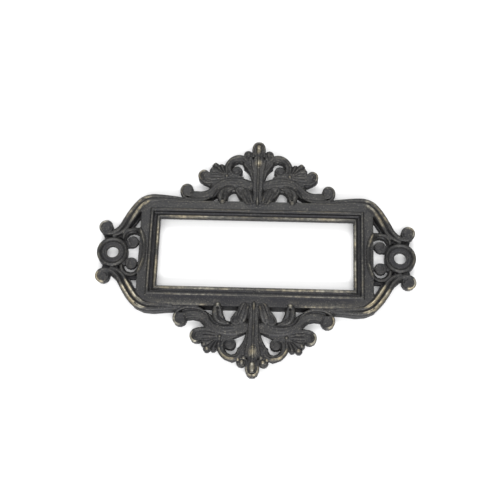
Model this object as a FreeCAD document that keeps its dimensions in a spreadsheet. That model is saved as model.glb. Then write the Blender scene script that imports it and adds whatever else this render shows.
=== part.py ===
# Ornate cast label frame for a drawer front: a moulded frame round a card window, a pierced
# acanthus crest above and below it, and a screw ring at each end, all cast as one piece.
# Millimetres. X runs along the frame, Y across it, Z out of its face. The back lies on Z = 0,
# and the origin is the middle of the card window on that plane.
import FreeCAD, Part
import math
import os
import Sketcher

doc = FreeCAD.newDocument("LabelFrame")
sheet = doc.addObject("Spreadsheet::Sheet", "Sizes")

# Driving sizes
sizes = {
    # card window, and the moulding round it
    "window_length": 33.5,
    "window_height": 12.4,
    "rail_width": 3.4,
    "rail_height": 2.1,
    "rail_draft": 0.2,
    "band_width": 1.6,
    "band_rise": 0.12,
    "bead_width": 0.62,
    "bead_rise": 0.26,
    "lip_width": 0.62,
    "lip_height": 1.95,
    "lip_rise": 0.26,
    "groove_depth": 0.34,
    "rebate_depth": 1.3,
    "rebate_width": 1.7,
    # screw rings
    "ring_gap": 4.65,
    "hole_radius": 1.05,
    "ring_radius": 2.7,
    "ring_height": 1.65,
    "ring_rim": 0.72,
    "rim_rise": 0.3,
    "dish_height": 1.1,
    "collar_radius": 1.42,
    "collar_rise": 0.18,
    "core_radius": 1.85,
    "core_depth": 0.5,
    # crests
    "crest_rise": 11.9,
    "crest_margin": 6.55,
    "web_height": 0.8,
    "scroll_height": 1.6,
    "layer_step": 0.1,
    "arm_width": 0.85,
    "scroll_width": 0.95,
    "tongue_width": 0.5,
    "leaf_rise": 0.4,
    "stem_rise": 0.35,
    "finial_rim": 0.56,
    "finial_rise": 0.35,
    "finial_floor": 1.1,
    "bud_radius": 0.85,
    "lobe_radius": 0.64,
    "volute_radius": 1.18,
    "volute_rim": 0.42,
    "eye_drop": 0.35,
    "scroll_eye_radius": 1.02,
    # shoulders
    "shoulder_width": 0.9,
    "shoulder_rise": 0.35,
    "strut_width": 0.75,
    "small_eye_radius": 0.98,
    "stalk_height": 1.2,
    "bridge_height": 1.0,
    "side_arc_width": 0.5,
    "side_arc_rise": 0.28,
}
for row, (name, number) in enumerate(sizes.items(), start=1):
    sheet.set(f"A{row}", name)
    sheet.set(f"B{row}", str(number))
    sheet.setAlias(f"B{row}", name)
doc.recompute()


def size(name):
    """One driving size, as the sheet holds it."""
    return float(getattr(sheet, name))


def origin_plane(body, role):
    """One of a body's own origin planes."""
    return next(item for item in body.Origin.OriginFeatures if item.Role == role)


def sketch_on(body, name, role):
    """A new sketch on one of a body's origin planes."""
    sketch = body.newObject("Sketcher::SketchObject", name)
    sketch.AttachmentSupport = [(origin_plane(body, role), "")]
    sketch.MapMode = "FlatFace"
    return sketch


def dimension(sketch, kind, *where, drawn, formula):
    """A dimension of a sketch, drawn at one size and then bound to the sheet."""
    index = sketch.addConstraint(Sketcher.Constraint(kind, *where, drawn))
    sketch.setExpression(f"Constraints[{index}]", formula)


def closed_section(sketch, corners, arcs):
    """A closed outline through corners: (across, up, formula across, formula up). A side named
    in arcs is a round one: the rise of its middle over its ends, with its formula of radius."""
    count = len(corners)
    for number, corner in enumerate(corners):
        start = FreeCAD.Vector(corner[0], corner[1], 0)
        after = corners[(number + 1) % count]
        end = FreeCAD.Vector(after[0], after[1], 0)
        if number in arcs:
            middle = (start + end) * 0.5 + FreeCAD.Vector(0, arcs[number][0], 0)
            sketch.addGeometry(Part.Arc(start, middle, end), False)
        else:
            sketch.addGeometry(Part.LineSegment(start, end), False)
    ends = {}
    for number in range(count):
        curve = sketch.Geometry[number]
        start = FreeCAD.Vector(corners[number][0], corners[number][1], 0)
        forward = curve.StartPoint.distanceToPoint(start) < 1e-6
        ends[number] = (1, 2) if forward else (2, 1)
    for number in range(count):
        after = (number + 1) % count
        sketch.addConstraint(
            Sketcher.Constraint("Coincident", number, ends[number][1], after, ends[after][0]))
    for number, (across, up, across_formula, up_formula) in enumerate(corners):
        point = ends[number][0]
        dimension(sketch, "DistanceX", -1, 1, number, point, drawn=across, formula=across_formula)
        if up == 0:
            sketch.addConstraint(Sketcher.Constraint("PointOnObject", number, point, -1))
        else:
            dimension(sketch, "DistanceY", -1, 1, number, point, drawn=up, formula=up_formula)
    for number, (rise, formula) in arcs.items():
        radius = sketch.Geometry[number].Radius
        dimension(sketch, "Radius", number, drawn=radius, formula=formula)


def arc_radius(width, rise):
    """The formula of an arc's radius from its width and its rise."""
    return f"(({width}) ^ 2 / 4 + ({rise}) ^ 2) / (2 * ({rise}))"


# Moulding round the card window: one section swept round it, with mitred corners. The section
# has a drafted outer wall, a flat band, a bead, a groove, a lip bead at the window, and behind
# the lip a rebate that holds the card.
moulding = doc.addObject("PartDesign::Body", "Moulding")
half_length = size("window_length") / 2
half_height = size("window_height") / 2
rail_x = half_length + size("rail_width")
rail_y = half_height + size("rail_width")
band_top = size("rail_height") + size("band_rise")
bead_outer = rail_x - size("band_width")
bead_inner = bead_outer - size("bead_width")
lip_outer = half_length + size("lip_width")

path = sketch_on(moulding, "WindowEdge", "XY_Plane")
window_corners = [
    (half_length, 0),
    (half_length, half_height),
    (-half_length, half_height),
    (-half_length, -half_height),
    (half_length, -half_height),
]
for number, (across, up) in enumerate(window_corners):
    after = window_corners[(number + 1) % len(window_corners)]
    path.addGeometry(
        Part.LineSegment(FreeCAD.Vector(across, up, 0), FreeCAD.Vector(*after, 0)), False)
for number in range(len(window_corners)):
    after = (number + 1) % len(window_corners)
    path.addConstraint(Sketcher.Constraint("Coincident", number, 2, after, 1))
path.addConstraint(Sketcher.Constraint("PointOnObject", 0, 1, -1))
for side in (0, 2, 4):
    path.addConstraint(Sketcher.Constraint("Vertical", side))
for side in (1, 3):
    path.addConstraint(Sketcher.Constraint("Horizontal", side))
dimension(path, "DistanceX", -1, 1, 0, 1, drawn=half_length, formula="Sizes.window_length / 2")
dimension(path, "DistanceY", -1, 1, 0, 2, drawn=half_height, formula="Sizes.window_height / 2")
dimension(path, "DistanceX", 2, 1, 0, 2, drawn=2 * half_length, formula="Sizes.window_length")
dimension(path, "DistanceY", 3, 2, 0, 2, drawn=2 * half_height, formula="Sizes.window_height")

WINDOW_EDGE = "Sizes.window_length / 2"
RAIL_EDGE = WINDOW_EDGE + " + Sizes.rail_width"
BAND_TOP = "Sizes.rail_height + Sizes.band_rise"
BEAD_INNER = RAIL_EDGE + " - Sizes.band_width - Sizes.bead_width"
LIP_OUTER = WINDOW_EDGE + " + Sizes.lip_width"
section = sketch_on(moulding, "RailSection", "XZ_Plane")
closed_section(
    section,
    [
        (rail_x + size("rail_draft"), 0, RAIL_EDGE + " + Sizes.rail_draft", ""),
        (rail_x, size("rail_height"), RAIL_EDGE, "Sizes.rail_height"),
        (bead_outer, band_top, RAIL_EDGE + " - Sizes.band_width", BAND_TOP),
        (bead_inner, band_top, BEAD_INNER, BAND_TOP),
        (bead_inner, size("lip_height"), BEAD_INNER, "Sizes.lip_height"),
        ((bead_inner + lip_outer) / 2, size("lip_height") - size("groove_depth"),
         f"({BEAD_INNER} + {LIP_OUTER}) / 2", "Sizes.lip_height - Sizes.groove_depth"),
        (lip_outer, size("lip_height"), LIP_OUTER, "Sizes.lip_height"),
        (half_length, size("lip_height"), WINDOW_EDGE, "Sizes.lip_height"),
        (half_length, size("rebate_depth"), WINDOW_EDGE, "Sizes.rebate_depth"),
        (half_length + size("rebate_width"), size("rebate_depth"),
         WINDOW_EDGE + " + Sizes.rebate_width", "Sizes.rebate_depth"),
        (half_length + size("rebate_width"), 0, WINDOW_EDGE + " + Sizes.rebate_width", ""),
    ],
    {
        2: (size("bead_rise"), arc_radius("Sizes.bead_width", "Sizes.bead_rise")),
        6: (size("lip_rise"), arc_radius("Sizes.lip_width", "Sizes.lip_rise")),
    },
)
rail = moulding.newObject("PartDesign::AdditivePipe", "Rail")
rail.Profile = section
rail.Spine = (path, [f"Edge{number + 1}" for number in range(len(window_corners))])
rail.Transition = "Right corner"

# Screw ring at the right-hand end: a turned form with a rounded rim, a dished floor, a collar
# round the screw hole, and a shallow core in its back. The left-hand one is its mirror image.
screw_ring = doc.addObject("PartDesign::Body", "ScrewRing")
ring_x = rail_x + size("ring_gap")
rim_foot = size("ring_height") - size("rim_rise")
rim_inner = size("ring_radius") - size("ring_rim")
collar_top = size("dish_height") + size("collar_rise")
collar_inner = size("collar_radius") - size("collar_rise")

HOLE_AXIS = RAIL_EDGE + " + Sizes.ring_gap"
RIM_FOOT = "Sizes.ring_height - Sizes.rim_rise"
RIM_INNER = HOLE_AXIS + " + Sizes.ring_radius - Sizes.ring_rim"
COLLAR_TOP = "Sizes.dish_height + Sizes.collar_rise"
ring_section = sketch_on(screw_ring, "RingSection", "XZ_Plane")
closed_section(
    ring_section,
    [
        (ring_x, size("core_depth"), HOLE_AXIS, "Sizes.core_depth"),
        (ring_x + size("core_radius"), size("core_depth"),
         HOLE_AXIS + " + Sizes.core_radius", "Sizes.core_depth"),
        (ring_x + size("core_radius"), 0, HOLE_AXIS + " + Sizes.core_radius", ""),
        (ring_x + size("ring_radius"), 0, HOLE_AXIS + " + Sizes.ring_radius", ""),
        (ring_x + size("ring_radius"), rim_foot, HOLE_AXIS + " + Sizes.ring_radius", RIM_FOOT),
        (ring_x + size("ring_radius") - size("ring_rim") / 2, size("ring_height"),
         HOLE_AXIS + " + Sizes.ring_radius - Sizes.ring_rim / 2", "Sizes.ring_height"),
        (ring_x + rim_inner, rim_foot, RIM_INNER, RIM_FOOT),
        (ring_x + rim_inner, size("dish_height"), RIM_INNER, "Sizes.dish_height"),
        (ring_x + size("collar_radius"), size("dish_height"),
         HOLE_AXIS + " + Sizes.collar_radius", "Sizes.dish_height"),
        (ring_x + collar_inner, collar_top,
         HOLE_AXIS + " + Sizes.collar_radius - Sizes.collar_rise", COLLAR_TOP),
        (ring_x, collar_top, HOLE_AXIS, COLLAR_TOP),
    ],
    {},
)
ring_turning = screw_ring.newObject("PartDesign::Revolution", "RingTurning")
ring_turning.Profile = ring_section
ring_section.addGeometry(
    Part.LineSegment(FreeCAD.Vector(ring_x, 0, 0), FreeCAD.Vector(ring_x, collar_top, 0)), True)
turning_axis = len(ring_section.Geometry) - 1
ring_section.addConstraint(Sketcher.Constraint("Vertical", turning_axis))
ring_section.addConstraint(Sketcher.Constraint("PointOnObject", turning_axis, 1, -1))
dimension(ring_section, "DistanceX", -1, 1, turning_axis, 1, drawn=ring_x, formula=HOLE_AXIS)
dimension(ring_section, "DistanceY", turning_axis, 1, turning_axis, 2,
          drawn=collar_top, formula=COLLAR_TOP)
ring_turning.ReferenceAxis = (ring_section, ["Axis0"])
ring_turning.Angle = 360
doc.recompute()

hole_centre = sketch_on(screw_ring, "HoleCentre", "XY_Plane")
hole_centre.addGeometry(
    Part.Circle(FreeCAD.Vector(ring_x, 0, 0), FreeCAD.Vector(0, 0, 1), size("hole_radius")), False)
hole_centre.addConstraint(Sketcher.Constraint("PointOnObject", 0, 3, -1))
dimension(hole_centre, "DistanceX", -1, 1, 0, 3, drawn=ring_x, formula=HOLE_AXIS)
dimension(hole_centre, "Radius", 0, drawn=size("hole_radius"), formula="Sizes.hole_radius")
doc.recompute()
screw_hole = screw_ring.newObject("PartDesign::Hole", "ScrewHole")
screw_hole.Profile = hole_centre
screw_hole.Reversed = True
screw_hole.DepthType = "ThroughAll"
screw_hole.setExpression("Diameter", "Sizes.hole_radius * 2")
doc.recompute()


def vector(across, up, height=0.0):
    """A point of the casting."""
    return FreeCAD.Vector(across, up, height)


def solid_of(rows):
    """The closed solid between cross-sections with the same number of corners each. Sides that
    a taper twists are split into two flat ones."""
    faces = []
    for row, after in zip(rows, rows[1:]):
        for number in range(len(row)):
            beside = (number + 1) % len(row)
            corners = [row[number], row[beside], after[beside], after[number]]
            across = (corners[1] - corners[0]).cross(corners[3] - corners[0])
            lift = abs(across.dot(corners[2] - corners[0])) / across.Length
            if lift < FLATNESS:
                faces.append(Part.Face(Part.makePolygon(corners + corners[:1])))
            else:
                faces.append(Part.Face(Part.makePolygon(corners[:3] + corners[:1])))
                faces.append(Part.Face(Part.makePolygon(corners[2:] + corners[:1] + corners[2:3])))
    for row in (rows[0], rows[-1]):
        faces.append(Part.Face(Part.makePolygon(row + row[:1])))
    solid = Part.makeSolid(Part.makeShell(faces))
    if solid.Volume < 0:
        solid.reverse()
    return solid


def strand(place, width, height, stations):
    """A raised strand with upright sides and a ridge along it, mitred at its stations. Each is
    a point of the ridge, with a share of the width and a lift of the ridge where they change."""
    places = [place(*station[:2]) for station in stations]
    rows = []
    for number, (point, station) in enumerate(zip(places, stations)):
        share, lift = station[2:] or (1.0, 0.0)
        last = len(places) - 1
        before = (places[max(number, 1)] - places[max(number - 1, 0)]).normalize()
        after = (places[min(number + 1, last)] - places[min(number, last - 1)]).normalize()
        along = (before + after).normalize()
        side = vector(-along.y, along.x) * (width * share / 2 / along.dot(after))
        shoulder = height + lift - SLOPE * width * share
        rows.append([
            point + side - BELOW,
            point + side + vector(0, 0, shoulder),
            point + vector(0, 0, height + lift),
            point - side + vector(0, 0, shoulder),
            point - side - BELOW,
        ])
    return solid_of(rows)


def turned(centre, edges, sides):
    """A boss or a roll with flat sides, from the radius and the height of each of its edges."""
    rows = []
    for radius, height in edges:
        turns = [2 * math.pi * (number + 0.5) / sides for number in range(sides)]
        rows.append([
            centre + vector(radius * math.cos(turn), radius * math.sin(turn), height)
            for turn in turns
        ])
    return solid_of(rows)


def knob(centre, radius, height, sides=8):
    """A round boss with a bevelled top."""
    edges = [(radius, -BELOW.z), (radius, height - BEVEL * radius), (BEVEL * radius, height)]
    return turned(centre, edges, sides)


def volute(centre, radius, height, sides=12):
    """The rolled end of a scroll: a ridged rim round a lower eye."""
    rim = size("volute_rim")
    edges = [(radius, -BELOW.z), (radius, height - SLOPE * rim), (radius - rim / 2, height),
             (radius - rim, height - size("eye_drop"))]
    return turned(centre, edges, sides)


def web(place, height, corners):
    """A flat plate between the strands."""
    points = [place(*corner) - BELOW for corner in corners]
    outline = Part.makePolygon(points + points[:1])
    return Part.Face(outline).extrude(vector(0, 0, height) + BELOW)


def relief(name, members):
    """The members fused to one solid and cut flat at the back, as an object of the document."""
    whole = members[0].multiFuse(members[1:])
    box = whole.BoundBox
    waste = Part.makeBox(box.XLength + 2, box.YLength + 2, BELOW.z + 1)
    waste.translate(vector(box.XMin - 1, box.YMin - 1, -BELOW.z - 1))
    feature = doc.addObject("Part::Feature", name)
    feature.Shape = whole.cut(waste)
    return feature


def mirrored(source, name, normal):
    """The mirror image of an object, across the middle of the casting."""
    image = doc.addObject("Part::Mirroring", name)
    image.Source = source
    image.Normal = normal
    return image


# The ornament is drawn for these places of the rail's edges, of the ring's centre and of the
# crest's ends, and it stretches with the real ones. Strands start a little below the back,
# which is then cut flat.
DRAWN_RAIL_X = 20.15
DRAWN_RAIL_Y = 9.6
DRAWN_GAP = 4.65
DRAWN_REACH = 13.6
DRAWN_RISE = 11.9
crest_reach = rail_x - size("crest_margin")
crest_stretch = crest_reach / DRAWN_REACH
crest_lift = size("crest_rise") / DRAWN_RISE
fineness = math.sqrt(crest_stretch * crest_lift)
BELOW = FreeCAD.Vector(0, 0, 0.4)
FLATNESS = 1e-7
SLOPE = 0.36
BEVEL = 0.4


def on_crest(across, up):
    """A point of the crest."""
    return vector(across * crest_stretch, rail_y + (up - DRAWN_RAIL_Y) * crest_lift)


def on_shoulder(across, up):
    """A point of the shoulder, between the rail's corner and the screw ring."""
    stretch = size("ring_gap") / DRAWN_GAP
    return vector(rail_x + (across - DRAWN_RAIL_X) * stretch, up * rail_y / DRAWN_RAIL_Y)


# Right-hand half of the upper crest: three strands of an acanthus arm that ends in a volute,
# a C-scroll round its eye, a shell of five ribs with lobes, and the leaves at the foot
arm_width = size("arm_width") * fineness
scroll_width = size("scroll_width") * fineness
tongue_width = size("tongue_width") * fineness
volute_radius = size("volute_radius") * fineness
eye_radius = size("scroll_eye_radius") * fineness
bud_radius = size("bud_radius") * fineness
lobe_radius = size("lobe_radius") * fineness
scroll_top = size("scroll_height")
inner_top = scroll_top - size("layer_step")
leaf_top = size("rail_height") + size("leaf_rise")

arm = [
    strand(on_crest, arm_width, scroll_top, [
        (0.9, 13.3, 0.8, -0.1), (2.4, 13.9), (4.4, 14.25), (6.2, 14.0), (7.4, 13.25), (8.1, 12.3),
        (9.0, 11.5), (10.2, 11.25), (11.4, 11.4)]),
    strand(on_crest, arm_width, scroll_top, [
        (0.9, 12.6, 0.8, -0.1), (2.4, 13.1), (4.4, 13.45), (6.1, 13.05), (7.2, 12.1), (8.2, 11.1),
        (9.6, 10.55), (11.2, 10.5), (12.6, 10.95, 0.8, 0)]),
    strand(on_crest, arm_width, scroll_top, [
        (0.9, 11.8, 0.7, -0.1), (2.6, 12.3), (4.4, 12.65), (5.8, 12.4), (6.9, 11.6),
        (7.9, 10.9, 0.9, 0.1), (9.2, 10.2, 0.8, 0.4), (11.0, 9.85, 0.7, 0.5),
        (12.6, 10.15, 0.7, 0.4), (13.2, 10.9, 0.6, 0.1)]),
    volute(on_crest(12.42, 11.75), volute_radius, scroll_top),
]
scroll = [
    strand(on_crest, scroll_width, scroll_top, [
        (1.9, 17.1, 0.8, -0.1), (2.5, 18.0), (3.4, 18.4), (4.5, 17.97), (5.25, 17.2),
        (5.6, 16.3), (5.65, 15.2, 0.8, 0)]),
    strand(on_crest, scroll_width, inner_top, [
        (2.3, 17.0, 0.6, -0.05), (2.75, 17.75, 0.6, 0), (3.5, 18.0, 0.6, 0), (4.4, 17.7, 0.65, 0),
        (4.95, 17.0, 0.75, 0), (5.05, 16.15, 0.75, 0), (4.8, 15.3, 0.75, 0), (4.2, 14.8, 0.6, 0)]),
    knob(on_crest(3.8, 15.87), eye_radius, inner_top, sides=12),
    knob(on_crest(1.85, 18.92), bud_radius, scroll_top, sides=10),
    strand(on_crest, scroll_width, scroll_top, [
        (0.75, 13.2, 0.5, -0.1), (0.85, 15.0, 0.6, 0), (1.3, 16.2, 0.9, 0), (2.0, 16.9, 0.8, 0),
        (2.5, 17.2, 0.5, -0.1)]),
]
shell = [
    strand(on_crest, scroll_width, scroll_top, [(5.9, 15.0, 0.5, -0.2), (6.55, 16.7, 1.1, 0)]),
    knob(on_crest(6.58, 16.68), 0.92 * lobe_radius, scroll_top),
    strand(on_crest, scroll_width, scroll_top, [(6.1, 14.8, 0.5, -0.2), (7.65, 16.7, 1.15, 0)]),
    knob(on_crest(7.68, 16.75), lobe_radius, scroll_top),
    strand(on_crest, scroll_width, scroll_top, [(6.2, 14.6, 0.5, -0.2), (8.15, 15.85, 1.0, 0)]),
    knob(on_crest(8.2, 15.9), 0.85 * lobe_radius, scroll_top),
    strand(on_crest, scroll_width, scroll_top, [
        (6.3, 14.3, 0.6, -0.2), (7.6, 14.4, 1.2, -0.1), (9.2, 14.55, 1.6, -0.1)]),
    volute(on_crest(9.45, 14.65), volute_radius, scroll_top),
    strand(on_crest, scroll_width, inner_top, [
        (7.2, 13.8, 0.6, -0.1), (8.6, 13.35, 0.8, 0), (9.6, 13.7, 0.6, 0), (10.2, 14.3, 0.5, 0)]),
]
leaves = [
    strand(on_crest, 2 * tongue_width, leaf_top, [
        (3.4, 12.3, 0.5, -1.1), (4.7, 12.25, 0.9, -0.9), (5.7, 11.75, 1.4, -0.6),
        (6.1, 10.9, 1.8, -0.2), (6.12, 10.0, 1.7, 0), (6.15, 9.15, 0.7, -0.1)]),
    strand(on_crest, tongue_width, leaf_top, [
        (0.55, 9.1, 0.6, -0.15), (0.62, 10.2, 1, -0.1), (0.75, 12.0, 0.9, -0.6),
        (0.8, 13.6, 0.8, -0.9)]),
    strand(on_crest, tongue_width, leaf_top, [
        (1.1, 9.2, 0.7, -0.1), (1.22, 10.0, 1, -0.1), (1.5, 11.2, 1, -0.6), (1.65, 12.3, 0.8, -0.9)]),
    strand(on_crest, tongue_width, leaf_top, [
        (1.9, 9.3, 0.7, -0.1), (2.02, 10.1, 1, -0.3), (2.25, 11.1, 1.1, -0.7),
        (2.3, 12.3, 0.8, -1.0)]),
    strand(on_crest, tongue_width, leaf_top, [
        (2.2, 9.6, 0.8, -0.6), (2.8, 10.5, 1.2, -0.8), (3.45, 11.5, 1, -0.9), (3.75, 12.3, 0.8, -1.0)]),
]
crest_web = web(on_crest, size("web_height"), [
    (0.5, 13.9), (1.2, 13.9), (3.0, 14.75), (5.0, 15.2), (6.2, 16.4), (7.5, 16.4), (8.4, 15.5),
    (9.0, 14.6), (9.0, 13.3), (8.4, 12.9), (7.6, 11.6), (6.6, 10.9), (5.4, 11.1), (4.15, 12.2),
    (3.2, 10.9), (2.5, 9.9), (2.2, 9.4), (0.5, 9.4)])
crest = relief("Crest", arm + scroll + shell + leaves + [crest_web])

# Stem in the middle of the crest: a plate, a ridge from the foot of the leaves to the top, and
# the finial, a rim round a bead
stem_top = scroll_top + size("stem_rise")
finial_rim = size("finial_rim")
finial_top = scroll_top + size("finial_rise")
stem_half = [
    (1.1, 9.0), (1.15, 12.0), (1.2, 14.0), (1.3, 14.7), (1.6, 15.5), (2.1, 16.1), (2.6, 16.5),
    (2.6, 17.2), (2.3, 18.3), (1.1, 19.3),
]
stem = relief("Stem", [
    web(on_crest, size("web_height"),
        stem_half + [(-across, up) for across, up in reversed(stem_half)]),
    strand(on_crest, tongue_width, leaf_top, [
        (0, 8.75, 0.6, -0.15), (0, 9.6, 1.2, 0)]),
    strand(on_crest, tongue_width, stem_top, [
        (0, 9.6, 1.2, leaf_top - stem_top), (0, 11.0, 1, 0.15), (0, 14.0, 1, -0.05),
        (0, 16.5, 1.4, 0), (0, 17.6, 1.9, 0.05), (0, 18.7, 0.6, -0.3)]),
    strand(on_crest, finial_rim, scroll_top, [
        (-0.87, 19.0, 1, -0.2), (-0.87, 20.3, 1, 0), (-0.62, 20.95, 1, 0), (-0.25, 21.22, 1, 0),
        (0.25, 21.22, 1, 0), (0.62, 20.95, 1, 0), (0.87, 20.3, 1, 0), (0.87, 19.0, 1, -0.2)]),
    web(on_crest, size("finial_floor"), [
        (-0.9, 18.9), (0.9, 18.9), (0.9, 20.3), (0.5, 21.0), (-0.5, 21.0), (-0.9, 20.3)]),
    strand(on_crest, tongue_width, finial_top, [
        (0, 19.2, 0.8, -0.2), (0, 20.1, 1.2, 0), (0, 20.9, 0.7, -0.15)]),
])

# Upper right-hand shoulder: twin beads that sweep from the top rail round its corner to a ball
# above the screw ring, and a strut with a small scroll between them and the side rail
shoulder_width = size("shoulder_width")
shoulder_top = size("rail_height") + size("shoulder_rise")
bead_drop = shoulder_top - scroll_top
shoulder = relief("Shoulder", [
    strand(on_shoulder, shoulder_width, shoulder_top, [
        (12.7, 10.05, 0.6, -0.8), (13.8, 10.1, 0.75, -0.5), (15.2, 10.15, 0.85, -0.4),
        (17.0, 10.3, 1, -0.3), (18.6, 10.15, 1, -0.1), (19.9, 9.55, 1.05, 0),
        (20.95, 8.45, 1, -0.1), (21.9, 7.15, 1, -0.3),
        (22.7, 5.85, 1, -0.5), (23.5, 4.7, 1, 0.15 - bead_drop), (24.5, 3.8, 1, 0.05 - bead_drop),
        (25.6, 3.4, 0.7, -bead_drop)]),
    strand(on_shoulder, shoulder_width, shoulder_top, [
        (13.8, 9.7, 0.6, -0.3), (17.2, 9.65, 0.7, -0.2), (18.7, 9.35, 0.85, 0),
        (19.7, 8.65, 0.95, 0.1), (20.55, 7.65, 0.95, 0), (21.3, 6.45, 0.95, -0.3),
        (22.0, 5.3, 0.9, -0.55), (22.75, 4.3, 0.8, 0.15 - bead_drop), (23.8, 3.35, 0.7, -bead_drop),
        (25.0, 2.8, 0.6, -0.1 - bead_drop)]),
    volute(on_shoulder(26.1, 4.38), size("volute_radius"), scroll_top),
    strand(on_shoulder, size("strut_width"), scroll_top, [
        (19.7, 2.9, 0.7, 0.8), (20.15, 3.6, 0.9, 0.5), (20.75, 3.95, 1, 0.1), (21.5, 4.05, 1, 0),
        (22.25, 3.8, 1, 0), (22.8, 3.2, 1, 0), (23.05, 2.5, 1, -0.1)]),
    knob(on_shoulder(21.5, 1.95), size("small_eye_radius"), inner_top, sides=10),
    web(on_shoulder, size("stalk_height"), [
        (21.6, 1.05), (23.0, 0.9), (23.4, 2.2), (22.6, 2.3), (21.9, 2.2)]),
    web(on_shoulder, size("web_height"), [
        (12.9, 9.4), (12.9, 10.1), (17.0, 10.3), (19.0, 10.0), (21.0, 8.3), (22.6, 5.9),
        (23.3, 4.6), (22.4, 3.9), (20.0, 3.9), (20.0, 4.75), (21.5, 4.8), (20.5, 6.4),
        (20.0, 6.5), (19.9, 9.2)]),
    web(on_shoulder, size("bridge_height"), [
        (22.6, 4.6), (24.6, 3.9), (26.7, 3.6), (26.35, 2.3), (24.0, 1.9), (22.9, 2.2),
        (22.6, 3.4)]),
])

# Thin arc that crosses the side rail's band between the two struts
side_arc = relief("SideArc", [
    strand(on_shoulder, size("side_arc_width"), band_top + size("side_arc_rise"), [
        (20.15, -4.1, 0.9, -0.15), (19.6, -2.7, 1, 0), (19.2, -1.1, 1, 0), (19.2, 1.1, 1, 0),
        (19.6, 2.7, 1, 0), (20.15, 4.1, 0.9, -0.15)])])

# The casting: what is modelled once is mirrored to the other side and to the lower half
ACROSS = vector(1, 0)
DOWN = vector(0, 1)
pieces = [moulding, screw_ring, stem, crest, shoulder, side_arc]
pieces += [
    mirrored(source, "Left" + source.Name, ACROSS) for source in (screw_ring, crest, shoulder, side_arc)]
pieces += [
    mirrored(source, "Lower" + source.Name, DOWN) for source in pieces
    if source.Name in ("Stem", "Crest", "Shoulder", "LeftCrest", "LeftShoulder")]
casting = doc.addObject("Part::MultiFuse", "Casting")
casting.Label = "label_frame"
casting.Shapes = pieces
casting.Refine = True
doc.recompute()

for item in doc.Objects:
    if "Invalid" in item.State or "Error" in item.State:
        raise RuntimeError(f"{item.Name} failed: {item.State}")
for item in pieces + [casting]:
    if item.Shape.isNull() or not item.Shape.isValid():
        raise RuntimeError(f"{item.Name} has no valid shape")
    if len(item.Shape.Solids) != 1:
        raise RuntimeError(f"{item.Name} isn't one solid")

os.makedirs("parts", exist_ok=True)
casting.Shape.exportStep(f"parts/{casting.Label}.step")
box = casting.Shape.BoundBox
print(f"{casting.Label}: {box.XLength:.2f} x {box.YLength:.2f} x {box.ZLength:.2f} mm, "
      f"{casting.Shape.Volume:.1f} mm3, {len(casting.Shape.Faces)} faces")
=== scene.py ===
import math

import bmesh
import bpy
import numpy as np
from mathutils import Matrix, Vector
from mathutils.kdtree import KDTree


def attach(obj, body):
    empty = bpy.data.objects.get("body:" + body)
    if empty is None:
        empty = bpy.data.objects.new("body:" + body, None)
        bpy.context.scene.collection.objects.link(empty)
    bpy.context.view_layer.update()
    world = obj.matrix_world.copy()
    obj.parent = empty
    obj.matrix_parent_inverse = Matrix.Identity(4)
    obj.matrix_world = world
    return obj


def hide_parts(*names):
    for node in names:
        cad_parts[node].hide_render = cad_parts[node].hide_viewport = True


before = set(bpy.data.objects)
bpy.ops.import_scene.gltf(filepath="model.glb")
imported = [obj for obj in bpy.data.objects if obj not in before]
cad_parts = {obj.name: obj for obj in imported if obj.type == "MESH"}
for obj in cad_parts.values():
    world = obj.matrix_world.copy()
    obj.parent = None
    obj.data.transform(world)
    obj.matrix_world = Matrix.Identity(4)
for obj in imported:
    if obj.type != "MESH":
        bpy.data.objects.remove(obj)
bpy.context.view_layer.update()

# The casting's blank. The real piece is one thin die casting of zinc alloy: window moulding,
# screw rings, pierced plates and scrolls. The scrolls' faces and the round eyes inside them are
# taken down here, so that the carving can be laid on them. Millimetres, as in the source.
MM = 0.001
WELD = 0.0005
RAIL_X, RAIL_Y, RAIL_MARGIN = 20.15, 9.6, 0.25
RING_X, RING_R, RING_MARGIN = 24.8, 2.7, 0.02
PLATE_TOP, LEAST_RISE = 0.8, 0.05
SCROLLS_DOWN, EYES_DOWN = 0.3, 0.6
EYES, EYE_R = ((3.82, 15.86), (21.5, 1.95)), 1.12

blank = bmesh.new()
blank.from_mesh(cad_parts["label_frame"].data)
bmesh.ops.scale(blank, vec=(1 / MM,) * 3, verts=blank.verts)
bmesh.ops.remove_doubles(blank, verts=blank.verts, dist=WELD)
for vert in blank.verts:
    x, y, z = abs(vert.co.x), abs(vert.co.y), vert.co.z
    on_rail = x < RAIL_X + RAIL_MARGIN and y < RAIL_Y + RAIL_MARGIN
    on_ring = math.hypot(x - RING_X, y) < RING_R + RING_MARGIN
    if not on_rail and not on_ring and z > PLATE_TOP + LEAST_RISE:
        in_eye = any(math.hypot(x - across, y - up) < EYE_R for across, up in EYES)
        vert.co.z = max(z - (EYES_DOWN if in_eye else SCROLLS_DOWN), PLATE_TOP + LEAST_RISE)

# The raised forms. The pattern maker's scrolls, leaves and beads stand on the blank's plates:
# each strand is a roll that swells and thins along a smooth line, and each rolled end is a
# flat disc inside the roll's last turn. They are given for the upper right-hand quarter alone.
DISC_FOOT = 0.5


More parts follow.
